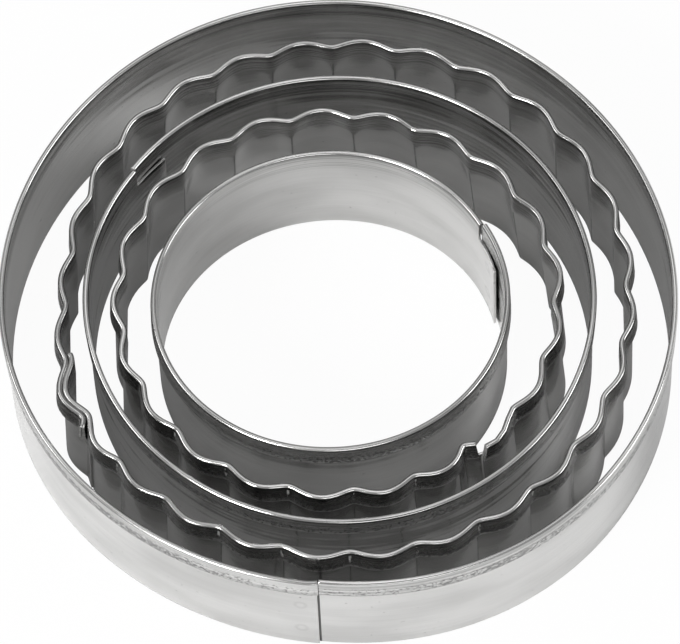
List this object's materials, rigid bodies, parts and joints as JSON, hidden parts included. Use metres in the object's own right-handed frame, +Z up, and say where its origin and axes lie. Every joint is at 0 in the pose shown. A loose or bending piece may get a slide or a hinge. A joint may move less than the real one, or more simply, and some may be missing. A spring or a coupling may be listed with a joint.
{
  "type": "biscuit cutter",
  "caption": "Nested set of round pastry cutters, plain and fluted in turn, each a thin bent steel strip with a lapped seam and a folded upper rim.",
  "frame": {"origin": "on the surface that the set stands on, under the middle of the large plain ring", "axes": "+Z up through the open rings, from the cutting edges to the folded rims; +X to the right and +Y away from the camera in the picture"},
  "size_m": [0.0802, 0.08, 0.0152],
  "materials": {
    "steel": "cold-rolled stainless strip, smooth grey with a soft shine"
  },
  "bodies": {
    "plain_large": {"plain_large": "steel"},
    "fluted_large": {"fluted_large": "steel"},
    "plain_medium": {"plain_medium": "steel"},
    "fluted_small": {"fluted_small": "steel"},
    "plain_small": {"plain_small": "steel"}
  },
  "joints": [
    {"name": "fluted_large_lift", "type": "slide", "parent": "plain_large", "child": "fluted_large", "axis": [0, 0, 1], "range_m": [0, 0.02]},
    {"name": "plain_medium_lift", "type": "slide", "parent": "plain_large", "child": "plain_medium", "axis": [0, 0, 1], "range_m": [0, 0.04]},
    {"name": "fluted_small_lift", "type": "slide", "parent": "plain_large", "child": "fluted_small", "axis": [0, 0, 1], "range_m": [0, 0.06]},
    {"name": "plain_small_lift", "type": "slide", "parent": "plain_large", "child": "plain_small", "axis": [0, 0, 1], "range_m": [0, 0.08]}
  ]
}
